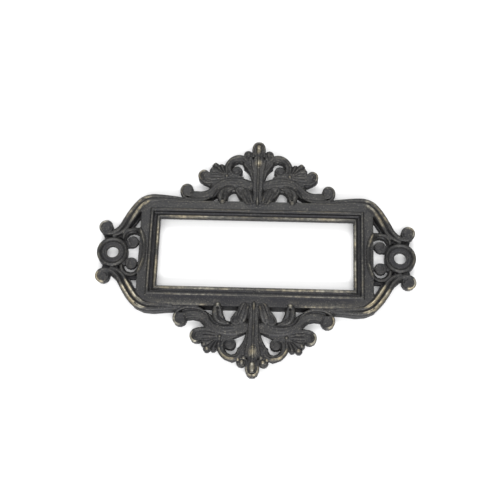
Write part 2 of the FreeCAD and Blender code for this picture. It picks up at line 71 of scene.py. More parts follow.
def strand(flatness, stations):
    """A roll, pressed flatter by a share, through (across, up, width, top of its crown)."""
    line = bpy.data.curves.new("strand", "CURVE")
    line.dimensions = "3D"
    line.resolution_u = 7
    line.bevel_depth = 1
    line.bevel_resolution = 3
    line.use_fill_caps = True
    spline = line.splines.new("BEZIER")
    spline.bezier_points.add(len(stations) - 1)
    for point, (across, up, width, top) in zip(spline.bezier_points, stations):
        point.co = (across, up, top / flatness - width / 2)
        point.radius = width / 2
        point.handle_left_type = point.handle_right_type = "AUTO"
    holder = bpy.data.objects.new("strand", line)
    mesh = bpy.data.meshes.new_from_object(holder)
    mesh.transform(Matrix.Diagonal((1, 1, flatness, 1)))
    blank.from_mesh(mesh)
    bpy.data.objects.remove(holder)
    bpy.data.curves.remove(line)
    bpy.data.meshes.remove(mesh)


def disc(across, up, radius, top, rise=0.12):
    """A round plate with a slightly domed face."""
    made = bmesh.ops.create_uvsphere(blank, u_segments=32, v_segments=16, radius=1)
    bmesh.ops.scale(blank, vec=(radius, radius, rise), verts=made["verts"])
    bmesh.ops.translate(blank, vec=(across, up, top - rise), verts=made["verts"])
    foot = bmesh.ops.create_cone(blank, cap_ends=True, segments=32, radius1=radius, radius2=radius,
                                 depth=top - rise - DISC_FOOT)
    bmesh.ops.translate(blank, vec=(across, up, (top - rise + DISC_FOOT) / 2), verts=foot["verts"])


def bud(across, up, radius, top, height):
    """A small round bud, whose widest level lies its height below its top."""
    made = bmesh.ops.create_uvsphere(blank, u_segments=24, v_segments=12, radius=1)
    bmesh.ops.scale(blank, vec=(radius, radius, height), verts=made["verts"])
    bmesh.ops.translate(blank, vec=(across, up, top - height), verts=made["verts"])


# acanthus arm: a broad band from the stem, over the hooked leaf and down to a rolled end
strand(0.42, [(0.6, 12.6, 1.5, 1.4), (1.6, 13.05, 2.0, 1.55), (3.0, 13.4, 2.3, 1.62),
              (4.6, 13.5, 2.4, 1.66), (6.1, 13.2, 2.3, 1.66), (7.3, 12.35, 2.0, 1.64),
              (8.2, 11.4, 1.8, 1.66), (9.4, 10.88, 1.85, 1.7), (10.8, 10.82, 1.9, 1.7),
              (11.9, 11.1, 1.6, 1.5)])
strand(0.9, [(8.4, 10.4, 0.4, 1.75), (9.3, 10.02, 0.55, 1.95), (10.8, 9.85, 0.62, 2.02),
             (12.2, 10.02, 0.66, 1.9), (13.08, 10.68, 0.6, 1.74), (13.42, 11.7, 0.5, 1.7),
             (13.1, 12.56, 0.46, 1.7), (12.35, 12.84, 0.42, 1.66), (11.68, 12.46, 0.36, 1.6),
             (11.5, 11.8, 0.3, 1.5)])
disc(12.35, 11.75, 1.05, 1.58)

# band over the arm, down to the shell's root
strand(0.35, [(2.6, 14.35, 0.6, 1.4), (3.9, 14.72, 0.9, 1.46), (5.2, 14.6, 1.1, 1.5),
              (6.4, 14.1, 1.2, 1.5), (7.4, 13.4, 1.1, 1.5), (8.1, 12.7, 0.7, 1.45)])

# upper C-scroll with a second, lower strand inside it, and its flat rolled eye
strand(0.85, [(1.5, 16.7, 0.5, 1.45), (1.85, 17.5, 0.8, 1.52), (2.5, 18.25, 0.95, 1.62),
              (3.4, 18.5, 1.0, 1.68), (4.45, 18.18, 1.04, 1.7), (5.2, 17.42, 1.04, 1.7),
              (5.62, 16.5, 1.0, 1.66), (5.7, 15.5, 0.8, 1.56), (5.5, 14.8, 0.5, 1.45)])
strand(0.8, [(2.2, 17.35, 0.5, 1.36), (2.8, 17.9, 0.46, 1.42), (3.55, 18.02, 0.42, 1.42),
             (4.38, 17.7, 0.46, 1.44), (4.94, 17.02, 0.56, 1.48), (5.1, 16.2, 0.62, 1.5),
             (4.82, 15.46, 0.56, 1.46), (4.2, 15.08, 0.46, 1.42), (3.46, 15.16, 0.38, 1.38),
             (3.02, 15.66, 0.32, 1.34)])
disc(3.82, 15.86, 0.96, 1.22)

# leaf between the stem and the scroll, with a rim along its open side
strand(0.5, [(0.7, 13.4, 0.7, 1.5), (0.9, 14.6, 0.95, 1.58), (1.2, 15.7, 1.15, 1.6),
             (1.7, 16.7, 1.3, 1.58), (2.1, 17.5, 1.0, 1.5)])
strand(0.9, [(0.92, 13.9, 0.3, 1.45), (1.06, 14.8, 0.34, 1.52), (1.42, 15.75, 0.38, 1.56),
             (2.0, 16.5, 0.42, 1.58), (2.45, 17.1, 0.4, 1.54), (2.4, 17.6, 0.3, 1.46)])

# buds beside the finial
disc(1.88, 19.02, 0.8, 1.58, 0.3)
bud(1.78, 19.0, 0.42, 1.72, 0.3)
bud(1.45, 18.32, 0.46, 1.66, 0.36)
bud(2.42, 18.62, 0.34, 1.66, 0.3)
bud(1.58, 17.5, 0.46, 1.5, 0.3)

# shell: ribs that open from a root into lobes, the lowest of them into a rolled end
strand(0.34, [(5.8, 14.8, 0.9, 1.5), (6.1, 15.8, 1.2, 1.56), (6.5, 16.7, 0.95, 1.56)])
strand(0.34, [(6.0, 14.8, 0.9, 1.5), (6.95, 16.0, 1.4, 1.6), (7.6, 16.8, 1.05, 1.6)])
strand(0.34, [(6.1, 14.7, 0.9, 1.5), (7.4, 15.5, 1.5, 1.6), (8.2, 15.95, 1.0, 1.58)])
strand(0.34, [(6.1, 14.6, 0.9, 1.5), (7.6, 14.85, 1.4, 1.6), (9.0, 14.9, 1.2, 1.54)])
strand(0.34, [(6.0, 14.4, 0.9, 1.48), (7.6, 14.1, 1.2, 1.58), (9.0, 14.2, 1.2, 1.54)])
bud(6.5, 16.62, 0.42, 1.66, 0.3)
bud(7.62, 16.86, 0.44, 1.72, 0.34)
bud(7.25, 16.5, 0.3, 1.66, 0.24)
bud(8.14, 16.08, 0.36, 1.68, 0.28)
bud(8.35, 15.6, 0.26, 1.62, 0.2)
strand(0.9, [(6.8, 13.75, 0.4, 1.45), (8.0, 13.5, 0.5, 1.54), (9.1, 13.46, 0.5, 1.6),
             (10.02, 13.84, 0.48, 1.66), (10.42, 14.65, 0.46, 1.7), (10.14, 15.42, 0.44, 1.7),
             (9.45, 15.66, 0.42, 1.64), (8.82, 15.3, 0.34, 1.56)])
disc(9.4, 14.6, 1.04, 1.54)
bud(5.58, 14.74, 0.32, 1.72, 0.3)
bud(5.15, 15.2, 0.4, 1.42, 0.3)

# hooked leaf: two lobes that meet in a curled tip over the rail
strand(0.6, [(4.1, 12.45, 0.5, 1.5), (5.1, 12.28, 0.9, 1.66), (5.95, 11.85, 1.15, 1.86),
             (6.45, 11.05, 1.2, 2.12), (6.5, 10.25, 1.05, 2.34), (6.35, 9.6, 0.8, 2.4)])
strand(0.6, [(4.75, 12.1, 0.5, 1.46), (5.25, 11.6, 0.95, 1.56), (5.55, 10.95, 0.9, 1.8),
             (5.72, 10.2, 0.72, 2.2), (5.95, 9.6, 0.7, 2.4)])
bud(6.12, 9.5, 0.5, 2.46, 0.3)

# palmette: a spoon-shaped leaf each side of the stem, its fingers spread over the rail, and a
# rolled rim round its end
strand(0.4, [(1.0, 9.25, 1.5, 2.42), (1.4, 9.9, 1.9, 2.4), (1.75, 10.7, 2.1, 2.14),
             (2.2, 11.4, 2.2, 1.86), (2.7, 12.0, 1.7, 1.68), (2.9, 12.4, 0.9, 1.56)])
strand(0.5, [(1.4, 9.1, 0.5, 2.4), (1.95, 9.5, 0.7, 2.34), (2.5, 10.2, 0.7, 2.0)])
strand(0.6, [(2.3, 9.95, 0.3, 2.05), (2.85, 10.55, 0.4, 1.9), (3.4, 11.25, 0.46, 1.8),
             (3.7, 11.9, 0.48, 1.76), (3.5, 12.36, 0.46, 1.72), (2.95, 12.48, 0.44, 1.68),
             (2.42, 12.24, 0.38, 1.64), (2.15, 11.8, 0.3, 1.6)])
bud(3.1, 12.0, 0.5, 1.62, 0.3)

# stem, its drop and the finial, on the middle line
strand(0.8, [(0, 8.75, 0.2, 2.32), (0, 9.3, 0.5, 2.5), (0, 10.1, 0.44, 2.4), (0, 11.2, 0.36, 2.06),
             (0, 12.6, 0.36, 1.84), (0, 14.4, 0.42, 1.82), (0, 16.0, 0.5, 1.8),
             (0, 16.65, 0.6, 1.82), (0, 17.4, 0.6, 1.8), (0, 18.3, 0.6, 1.76),
             (0, 18.8, 0.4, 1.66)])
strand(0.42, [(0, 16.35, 0.7, 1.86), (0, 16.8, 1.2, 1.98), (0, 17.2, 1.55, 2.04),
              (0, 17.75, 1.35, 2.0), (0, 18.3, 0.8, 1.86)])
strand(0.4, [(0.3, 9.6, 0.8, 2.3), (0.3, 10.8, 1.0, 2.06), (0.3, 12.2, 1.1, 1.74),
             (0.3, 14.4, 1.2, 1.7), (0.35, 16.0, 1.5, 1.68), (0.4, 17.4, 1.7, 1.62),
             (0.34, 18.2, 1.2, 1.56), (0.2, 18.8, 0.8, 1.5)])
strand(0.5, [(0.6, 10.4, 0.3, 2.08), (0.66, 12.0, 0.4, 1.74), (0.68, 14.0, 0.44, 1.68),
             (0.78, 15.6, 0.5, 1.66), (1.0, 17.0, 0.56, 1.64), (1.15, 18.0, 0.5, 1.58)])
strand(0.8, [(0.96, 18.6, 0.4, 1.5), (0.98, 19.4, 0.46, 1.64), (0.95, 20.3, 0.48, 1.68),
             (0.76, 20.86, 0.46, 1.7), (0.38, 21.2, 0.46, 1.7), (-0.38, 21.2, 0.46, 1.7)])
strand(0.3, [(0, 18.6, 1.3, 1.56), (0, 19.4, 1.8, 1.67), (0, 20.3, 1.7, 1.68),
             (0, 20.9, 1.1, 1.6)])
strand(0.6, [(0, 18.9, 0.4, 1.7), (0, 19.4, 0.9, 1.88), (0, 20.1, 1.02, 1.96),
             (0, 20.7, 0.7, 1.88)])

# shoulder: twin beads that sweep round the rail's corner to a rolled end above the ring
strand(1.0, [(12.6, 10.0, 0.5, 1.6), (13.8, 10.1, 0.72, 1.95), (15.4, 10.2, 0.84, 2.08),
             (17.2, 10.32, 0.9, 2.14), (18.75, 10.2, 0.98, 2.26), (20.02, 9.62, 1.02, 2.34),
             (21.07, 8.58, 1.02, 2.28), (22.04, 7.21, 1.0, 2.14), (22.83, 5.88, 0.98, 1.98),
             (23.55, 4.7, 0.9, 1.8), (24.5, 3.82, 0.84, 1.68), (25.5, 3.34, 0.7, 1.66),
             (26.52, 3.44, 0.56, 1.68), (27.13, 4.12, 0.48, 1.7), (27.08, 5.0, 0.46, 1.7),
             (26.38, 5.5, 0.42, 1.68), (25.54, 5.34, 0.38, 1.62), (25.12, 4.68, 0.32, 1.52)])
strand(1.0, [(13.8, 9.7, 0.45, 2.1), (15.4, 9.72, 0.5, 2.2), (17.2, 9.65, 0.64, 2.28),
             (18.72, 9.38, 0.84, 2.44), (19.77, 8.71, 1.0, 2.53), (20.63, 7.72, 1.04, 2.46),
             (21.4, 6.54, 1.02, 2.24), (22.1, 5.38, 0.94, 1.98), (22.75, 4.3, 0.72, 1.76),
             (23.8, 3.4, 0.62, 1.66), (25.0, 2.95, 0.5, 1.55)])
disc(26.12, 4.42, 1.06, 1.58)
strand(0.9, [(11.8, 9.8, 0.3, 1.8), (13.2, 9.84, 0.5, 1.96), (15.5, 9.9, 0.5, 2.04),
             (17.5, 9.9, 0.4, 2.04)])

# strut beside the ring: a small scroll round its flat eye, tied to the rail by a thin arc
strand(0.85, [(19.7, 2.9, 0.5, 2.4), (20.15, 3.6, 0.6, 2.1), (20.8, 4.06, 0.62, 1.7),
              (21.55, 4.18, 0.62, 1.54), (22.34, 3.92, 0.62, 1.52), (22.92, 3.28, 0.62, 1.52),
              (23.14, 2.4, 0.6, 1.5)])
disc(21.4, 1.95, 1.04, 1.2, 0.16)
strand(0.5, [(20.2, 4.2, 0.5, 2.26), (19.6, 2.8, 0.66, 2.4), (19.25, 1.2, 0.7, 2.43),
             (19.2, -0.4, 0.7, 2.43)])

# The skin. Blank and strands become one surface, softened as a sand-fine casting is, and the
# chaser's lines are then drawn on what faces up: veins, grooves between strands, pits, and the
# rail's soft outer edge. The quarter runs past both middle lines, to be even across them.
PAST_MIDDLE = 0.6
VOXEL = 0.064
STEP = 0.07
FACING_FROM, FACING_SPAN = 0.15, 0.5


def settle(mesh, modifiers):
    """The mesh as these modifiers leave it, as (kind, settings)."""
    holder = bpy.data.objects.new("settling", mesh)
    bpy.context.scene.collection.objects.link(holder)
    for kind, settings in modifiers:
        modifier = holder.modifiers.new(kind.lower(), kind)
        for key, value in settings.items():
            setattr(modifier, key, value)
    bpy.context.view_layer.update()
    settled = bpy.data.meshes.new_from_object(
        holder.evaluated_get(bpy.context.evaluated_depsgraph_get()))
    bpy.data.objects.remove(holder)
    return settled


def read_field(mesh, name, items, width, kind=np.float32):
    """One value of each of a mesh's items, as rows."""
    values = np.zeros(len(items) * width, kind)
    items.foreach_get(name, values)
    return values.reshape(-1, width)


def corner_order(face):
    """One number of a face's first three corners, to put the faces in the same order each run."""
    first, second, third = (vert.index for vert in face.verts[:3])
    return (first * len(blank.verts) + second) * len(blank.verts) + third


blank.verts.index_update()
blank.faces.sort(key=corner_order)
bmesh.ops.remove_doubles(blank, verts=blank.verts, dist=WELD)
bmesh.ops.recalc_face_normals(blank, faces=blank.faces)
solid = bpy.data.meshes.new("blank")
for side in ((1, 0, 0), (0, 1, 0)):
    cut = bmesh.ops.bisect_plane(
        blank, geom=blank.verts[:] + blank.edges[:] + blank.faces[:],
        plane_co=Vector(side) * -PAST_MIDDLE, plane_no=side, clear_inner=True)
    edges = [item for item in cut["geom_cut"] if isinstance(item, bmesh.types.BMEdge)]
    bmesh.ops.holes_fill(blank, edges=edges)
blank.to_mesh(solid)
blank.free()
pattern = bpy.data.objects.new("pattern", solid)
bpy.context.scene.collection.objects.link(pattern)
skin = settle(solid, [
    ("REMESH", {"mode": "VOXEL", "voxel_size": VOXEL, "adaptivity": 0.0}),
    ("SHRINKWRAP", {"target": pattern, "wrap_method": "NEAREST_SURFACEPOINT"}),
    ("SMOOTH", {"factor": 0.5, "iterations": 3}),
])
bpy.data.objects.remove(pattern)
places = read_field(skin, "co", skin.vertices, 3)
facing = read_field(skin, "normal", skin.vertices, 3)[:, 2]
upward = ((facing - FACING_FROM) / FACING_SPAN).clip(0, 1)


def smooth_line(stations):
    """Places close together on a smooth line through (across, up) stations."""
    knots = np.array(stations, float)
    knots = np.vstack([2 * knots[0] - knots[1], knots, 2 * knots[-1] - knots[-2]])
    spans = []
    for before, start, end, after in zip(knots, knots[1:], knots[2:], knots[3:]):
        steps = int(np.hypot(*(end - start)) / STEP) + 2
        turns = np.linspace(0, 1, steps, endpoint=False)[:, None]
        spans.append(
            0.5 * (2 * start + (end - before) * turns
                   + (2 * before - 5 * start + 4 * end - after) * turns ** 2
                   + (3 * start - before - 3 * end + after) * turns ** 3))
    return np.vstack(spans + [knots[-2:-1]])


def nearness(spots, width, stations):
    """How near each spot lies to a line that tapers at its ends: 1 on it, 0 beside it."""
    line = smooth_line(stations) if len(stations) > 1 else np.array(stations, float)
    along = np.linspace(0, 1, len(line)) if len(line) > 1 else np.array([0.5])
    blunt, quickness, reach, stretch = 0.35, 5, 2.6 * width, 24
    taper = np.minimum(1, blunt + quickness * np.minimum(along, 1 - along))
    share = np.zeros(len(spots), np.float32)
    for first in range(0, len(line), stretch):
        piece, thin = line[first:first + stretch], taper[first:first + stretch]
        close = ((spots > piece.min(0) - reach) & (spots < piece.max(0) + reach)).all(1)
        away = ((spots[close][:, None] - piece[None]) ** 2).sum(2) / (width * thin) ** 2
        share[close] = np.maximum(share[close], (np.exp(-away) * thin).max(1))
    return share


def carve(lift, width, stations):
    """A ridge along a line, or a groove where its lift is negative."""
    places[:, 2] += lift * nearness(places[:, :2], width, stations) * upward


def round_hole(radius, first, last):
    """Stations round the screw hole, from one angle to another."""
    turns = [math.radians(turn) for turn in range(first, last, 20)]
    return [(RING_X + radius * math.cos(turn), radius * math.sin(turn)) for turn in turns]


# veins, grooves and pits of the arm
for line in (
        [(1.5, 13.6), (2.5, 14.0), (3.6, 14.22), (5.0, 14.12), (6.2, 13.8), (7.2, 13.12),
         (8.0, 12.32), (8.7, 11.7), (9.4, 11.48), (10.4, 11.45), (11.2, 11.55)],
        [(2.2, 13.12), (3.2, 13.52), (4.5, 13.7), (5.6, 13.5), (6.6, 12.9), (7.5, 12.05),
         (8.3, 11.2), (9.2, 10.8), (10.4, 10.72), (11.4, 10.9)],
        [(1.4, 12.4), (2.3, 12.75), (3.4, 13.0), (4.6, 13.1), (5.6, 12.95), (6.4, 12.45),
         (7.1, 11.7), (7.9, 10.8), (8.6, 10.3)]):
    carve(0.045, 0.13, line)
for line in (
        [(1.6, 13.95), (2.6, 14.35), (3.8, 14.5), (5.1, 14.4), (6.4, 13.98), (7.4, 13.35)],
        [(2.1, 13.32), (3.2, 13.74), (4.5, 13.94), (5.7, 13.76), (6.75, 13.12), (7.65, 12.25),
         (8.45, 11.5), (9.3, 11.18), (10.5, 11.12), (11.4, 11.3)],
        [(2.4, 12.9), (3.4, 13.25), (4.6, 13.4), (5.6, 13.2), (6.5, 12.66), (7.3, 11.86),
         (8.1, 11.0), (8.9, 10.5), (10.2, 10.32), (11.6, 10.44), (12.4, 10.8)]):
    carve(-0.06, 0.12, line)
carve(-0.08, 0.12, [(8.9, 11.72), (9.8, 11.64), (11.0, 11.7)])
carve(-0.22, 0.15, [(3.9, 12.58), (5.0, 12.8), (6.1, 12.62), (6.95, 12.0), (7.45, 11.25),
                    (7.9, 10.6)])
carve(-0.14, 0.14, [(11.45, 12.2), (11.5, 11.6), (11.8, 11.1)])

# scroll, its eye and the leaf beside the stem
carve(-0.14, 0.12, [(2.3, 17.8), (3.2, 18.16), (4.2, 18.06), (4.95, 17.5), (5.33, 16.75),
                    (5.4, 15.9)])
carve(-0.1, 0.12, [(4.8, 16.3), (4.72, 15.85), (4.3, 15.5), (3.8, 15.42), (3.4, 15.75),
                   (3.4, 16.2)])
carve(0.05, 0.3, [(3.9, 16.3), (3.95, 15.7)])
carve(-0.1, 0.11, [(0.95, 14.3), (1.1, 15.2), (1.5, 16.1), (2.0, 16.8)])
carve(-0.08, 0.1, [(1.0, 15.6), (1.3, 16.5), (1.8, 17.3)])
carve(0.07, 0.12, [(1.2, 15.9), (1.55, 16.6), (2.05, 17.1)])
carve(-0.05, 0.11, [(0.34, 10.0), (0.36, 12.0), (0.38, 14.0), (0.44, 15.4)])

# buds and finial
carve(-0.12, 0.1, [(1.28, 19.2), (1.5, 19.55), (1.95, 19.66), (2.3, 19.4)])
carve(-0.16, 0.13, [(1.25, 18.72), (1.75, 18.62), (2.1, 18.75)])

# shell
for line in (
        [(5.75, 15.3), (6.0, 16.1), (6.25, 16.9)],
        [(6.05, 15.3), (6.6, 16.2), (7.05, 16.95)],
        [(6.35, 15.3), (7.15, 16.0), (7.95, 16.6)],
        [(6.5, 15.1), (7.4, 15.45), (8.5, 15.55)],
        [(6.2, 14.96), (7.4, 15.06), (8.8, 15.1)],
        [(6.1, 14.58), (7.3, 14.48), (8.6, 14.45)],
        [(6.3, 14.2), (7.4, 13.88), (8.7, 13.85)]):
    carve(-0.2, 0.1, line)
for line in (
        [(6.2, 15.6), (6.62, 16.5)],
        [(6.5, 15.5), (7.4, 16.5)],
        [(6.7, 15.3), (7.9, 15.95)]):
    carve(0.05, 0.1, line)
carve(-0.12, 0.12, [(8.75, 14.0), (9.45, 14.0), (9.85, 14.45), (9.85, 15.0), (9.5, 15.2)])

# hooked leaf
carve(-0.09, 0.13, [(4.9, 12.2), (5.55, 11.95), (5.9, 11.4), (6.0, 10.7), (6.02, 10.3)])
carve(-0.35, 0.16, [(6.08, 9.98)])
carve(-0.12, 0.16, [(5.28, 11.58)])
carve(0.06, 0.13, [(5.6, 12.25), (6.3, 11.8), (6.7, 11.0), (6.6, 10.3)])

# palmette
for line in (
        [(0.5, 9.2), (0.7, 9.9), (0.85, 10.8), (1.0, 11.8), (1.25, 12.5)],
        [(0.9, 8.95), (1.3, 9.8), (1.6, 10.8), (1.9, 11.8), (2.1, 12.3)],
        [(1.5, 9.05), (1.95, 9.9), (2.3, 10.7), (2.6, 11.4)]):
    carve(-0.12, 0.1, line)
for line in (
        [(0.7, 9.0), (1.0, 9.8), (1.2, 10.8), (1.45, 11.8)],
        [(1.2, 8.95), (1.65, 9.8), (1.95, 10.6)]):
    carve(0.07, 0.1, line)
carve(-0.04, 0.2, [(2.6, 11.65), (2.9, 11.9)])

# rail, shoulder and strut
carve(0.05, 0.16, [(7.5, 9.35), (13.0, 9.35), (18.6, 9.35)])
for line in ([(-1.0, 7.12), (0, 7.12), (17.7, 7.12)], [(17.68, -1.0), (17.68, 0), (17.68, 7.1)]):
    carve(0.26, 0.24, line)
carve(0.14, 0.2, round_hole(1.72, -20, 201))
carve(0.12, 0.14, round_hole(1.42, -20, 201))
carve(-0.08, 0.1, [(14.0, 9.95), (17.2, 9.98), (18.78, 9.8), (19.92, 9.18), (20.88, 8.16),
                   (21.75, 6.88), (22.5, 5.62), (23.3, 4.3), (24.3, 3.5)])
carve(-0.4, 0.2, [(23.5, 2.62)])
carve(-0.08, 0.14, [(22.1, 2.5), (22.0, 1.8), (21.6, 1.4)])
carve(-0.16, 0.12, [(25.3, 4.6), (25.5, 4.05), (26.0, 3.85)])
skin.vertices.foreach_set("co", places.ravel())
skin.update()

# how far each place stands out of its surroundings, measured while the skin is still even
ties = read_field(skin, "vertices", skin.edges, 2, np.int32)
meetings = np.bincount(ties.ravel(), minlength=len(places)).clip(1)[:, None]


def neighbours_mean(values, rounds):
    """Each vertex's value, averaged with its neighbours' this many times over."""
    for _ in range(rounds):
        total = np.stack([
            np.bincount(ties[:, 0], values[ties[:, 1], axis], len(values))
            + np.bincount(ties[:, 1], values[ties[:, 0], axis], len(values))
            for axis in range(values.shape[1])], axis=1)
        values = 0.5 * values + 0.5 * total / meetings
    return values


pulled = neighbours_mean(places, rounds=8)
stand = ((places - pulled) * read_field(skin, "normal", skin.vertices, 3)).sum(1)
stand = neighbours_mean(stand[:, None], rounds=2)[:, 0]
finder = KDTree(len(places))
for number, spot in enumerate(places.tolist()):
    finder.insert(spot, number)
finder.balance()

# the quarter cut at the middle lines, thinned, and mirrored both ways to the whole casting
QUARTER_TRIANGLES = 47000
SEAM = 0.02
quarter = bmesh.new()
quarter.from_mesh(skin)
for side in ((1, 0, 0), (0, 1, 0)):
    bmesh.ops.bisect_plane(
        quarter, geom=quarter.verts[:] + quarter.edges[:] + quarter.faces[:],
        plane_co=(0, 0, 0), plane_no=side, clear_inner=True)
bmesh.ops.scale(quarter, vec=(MM,) * 3, verts=quarter.verts)
quarter.to_mesh(skin)
quarter.free()
thinned = settle(skin, [
    ("DECIMATE", {"decimate_type": "COLLAPSE", "use_collapse_triangulate": True,
                  "ratio": QUARTER_TRIANGLES / (2 * len(skin.polygons))}),
    ("MIRROR", {"use_axis": (True, True, False), "use_mirror_merge": True,
                "merge_threshold": SEAM * MM}),
])
casting = bpy.data.objects.new("casting", thinned)
bpy.context.scene.collection.objects.link(casting)
thinned.shade_smooth()

# Dark antique bronze: a near-black patina over the plated alloy, rubbed back to brassy grey on the
# edges that a cloth reaches. The same brass is also painted highlight: stronger on the near side,
# which the key light faces, and broad where highlights fall. What is rubbed and lit is listed as
# (share on the near side, share on the far side, width, line).
RIDGE_HEIGHT, CREVICE_DEPTH = 0.01, 0.03
places = read_field(thinned, "co", thinned.vertices, 3) / MM
nearest = [finder.find(spot)[1] for spot in np.abs(places).tolist()]
stand = stand[nearest]
folded = np.abs(places[:, :2])
far_side = places[:, 1] / 8
near_share = (0.5 - far_side).clip(0, 1)
rub_and_highlight = np.full(len(places), 0.08)
for near, far, width, line in (
        (0.95, 0.7, 0.36, [(16.95, 0), (16.95, 6.6)]),
        (0.62, 0.62, 0.36, [(0, 6.55), (16.95, 6.55)]),
        (0.42, 0.34, 0.17, [(18.25, 0), (18.25, 7.8)]),
        (0.4, 0.34, 0.17, [(0, 7.8), (18.2, 7.8)]),
        # the rail's outer edge: painted highlight, far stronger on the near side
        (0.5, 0.24, 0.22, [(7, 9.4), (18.6, 9.4)]),
        (0.85, 0.15, 0.36, [(3.3, 9.0), (18.8, 9.0)]),
        (1.25, 0.6, 0.26, [(18.2, 10.3), (20.05, 9.68), (21.13, 8.62), (22.14, 7.2), (23.05, 5.8)]),
        (1.25, 0.75, 0.26, [(18.4, 9.46), (19.77, 8.71), (20.63, 7.72), (21.44, 6.42), (22.26, 5.1)]),
        (1.3, 0.6, 0.34, [(26.9, 3.8), (27.15, 4.6), (26.7, 5.4), (25.9, 5.5)]),
        (0.5, 0.3, 0.3, [(26.9, 1.5), (27.2, 0.6), (27.25, 0)]),
        (0.9, 0.3, 0.3, [(13.2, 11.0), (13.42, 11.8), (13.1, 12.6), (12.4, 12.85)]),
        (1.0, 0.5, 0.3, [(10.1, 14.0), (10.42, 14.8), (10.1, 15.5), (9.4, 15.66)]),
        (0.75, 0.25, 0.24, [(3.0, 18.55), (4.4, 18.3), (5.2, 17.55), (5.7, 16.6)]),
        # the drop: wear and a broad painted highlight
        (1.3, 0.8, 0.7, [(0, 16.9), (0, 17.8)]),
        (1.0, 0.7, 0.42, [(0, 19.3), (0, 20.8)]),
        (0.7, 0.25, 0.3, [(1.0, 19.8), (0.78, 20.9), (0, 21.3)]),
        (0.8, 0.2, 0.36, [(1.8, 19.05)]),
        (0.6, 0.2, 0.26, [(1.45, 18.35)]),
        (0.7, 0.2, 0.26, [(2.4, 18.7)]),
        (0.7, 0.3, 0.3, [(7.65, 16.9)]),
        (0.4, 0.2, 0.3, [(8.2, 16.1)]),
        (0.6, 0.6, 0.26, [(5.58, 14.74)]),
        (0.6, 0.4, 0.36, [(6.1, 9.4)]),
        (0.3, 0.2, 0.3, [(6.6, 10.9), (6.6, 10.2)]),
        (0.5, 0.5, 0.24, [(0, 8.9), (0, 10.2)]),
        (0.24, 0.24, 0.3, [(0, 12.5), (0, 14.8)]),
        (0.3, 0.3, 0.26, [(1.0, 9.1), (1.2, 10.2)]),
        (0.3, 0.3, 0.26, [(1.75, 9.1), (2.0, 10.0)]),
        (0.5, 0.6, 0.34, [(19.3, 1.4), (19.65, 2.8), (20.15, 3.9)])):
    strength = far + (near - far) * near_share
    rub_and_highlight = np.maximum(rub_and_highlight, strength * nearness(folded, width, line))
# painted darker along the window's grooves, in the screw ring's dish and on the eyes' and rolled
# ends' faces
darker_lines = np.zeros(len(places))
for strength, width, line in (
        (0.8, 0.26, [(0, 7.02), (17.5, 7.02)]),
        (0.8, 0.26, [(0, 7.28), (17.8, 7.28)]),
        (0.8, 0.26, [(17.54, 0), (17.54, 7.0)]),
        (0.8, 0.26, [(17.8, 0), (17.8, 7.2)]),
        (0.7, 0.4, round_hole(1.55, 0, 181)),
        (0.4, 0.7, [(21.5, 1.95)]),
        (0.35, 0.6, [(26.0, 4.5)]),
        (0.35, 0.6, [(12.2, 11.8)]),
        (0.35, 0.6, [(9.3, 14.6)])):
    darker_lines = np.maximum(darker_lines, strength * nearness(folded, width, line))
# painted shade: a band along the near rail beside its bead, on steep walls and low parts (more on the
# near side), over the whole near side, and in creases (less on the far side)
near_rail_painted_shade = (-far_side).clip(0, 1) * nearness(folded, 0.42, [(-1, 8.2), (18.2, 8.2)])
steep_wall_painted_shade = (0.7 - read_field(thinned, "normal", thinned.vertices, 3)[:, 2]).clip(0, 0.55) / 0.55
steep_wall_painted_shade *= 0.42 + 0.24 * near_share
low = (0.38 + 0.28 * near_share) * ((1.45 - places[:, 2]) / 0.7).clip(0, 1)
near_side_painted_shade = 0.14 * (-places[:, 1] / 9).clip(0, 1)
crevice_painted_shade = (-stand / CREVICE_DEPTH).clip(0, 1) * (0.48 - 0.16 * far_side.clip(-1, 1))
# wear and painted highlight spread broad over the drop's crown
drop_wear_and_highlight = 0.9 * nearness(folded, 0.6, [(0, 17.0), (0, 17.7)])
within_reach = ((places[:, 2] - 0.85) / 0.35).clip(0.1, 1)
for name, values in (
        ("ridge", np.maximum((stand / RIDGE_HEIGHT).clip(0, 1), drop_wear_and_highlight)),
        ("rub_and_highlight", rub_and_highlight * within_reach),
        ("darkening_and_painted_shade", np.maximum.reduce([darker_lines, near_rail_painted_shade, low, steep_wall_painted_shade, near_side_painted_shade, crevice_painted_shade]))):
    field = thinned.attributes.new(name, "FLOAT", "POINT")
    field.data.foreach_set("value", values.astype(np.float32))


class Signal:
    """One output of a material's node, for shader sums that are written as Python."""

    def __init__(self, socket):
        self.socket = socket

    def node(self, kind, settings, inputs, output=0):
        """Another node of the same material, with its settings and its sockets' values."""
        tree = self.socket.id_data
        made = tree.nodes.new(kind)
        for key, value in settings.items():
            setattr(made, key, value)
        for key, value in inputs.items():
            if isinstance(value, Signal):
                tree.links.new(value.socket, made.inputs[key])
            else:
                made.inputs[key].default_value = value
        return Signal(made.outputs[output])

    def math(self, operation, first, second=0.0):
        """A Math node on values or signals."""
        return self.node("ShaderNodeMath", {"operation": operation}, {0: first, 1: second})

    def __add__(self, other):
        return self.math("ADD", self, other)

    def __sub__(self, other):
        return self.math("SUBTRACT", self, other)

    def __mul__(self, other):
        return self.math("MULTIPLY", self, other)

    def __rsub__(self, other):
        return self.math("SUBTRACT", other, self)

    __radd__ = __add__
    __rmul__ = __mul__

    def span(self, low, high):
        """0 at low, 1 at high, smooth between, and clamped."""
        return self.node("ShaderNodeMapRange", {"interpolation_type": "SMOOTHSTEP"},
                         {"Value": self, "From Min": low, "From Max": high})

    def noise(self, scale, detail, roughness=0.5):
        """A noise over the place that this signal holds, in waves per metre."""
        return self.node("ShaderNodeTexNoise", {}, {
            "Vector": self, "Scale": scale, "Detail": detail, "Roughness": roughness})

    def blend(self, first, second):
        """One colour over another, by this signal as a mask."""
        return self.node("ShaderNodeMix", {"data_type": "RGBA"},
                         {"Factor": self, 6: first, 7: second}, output=2)


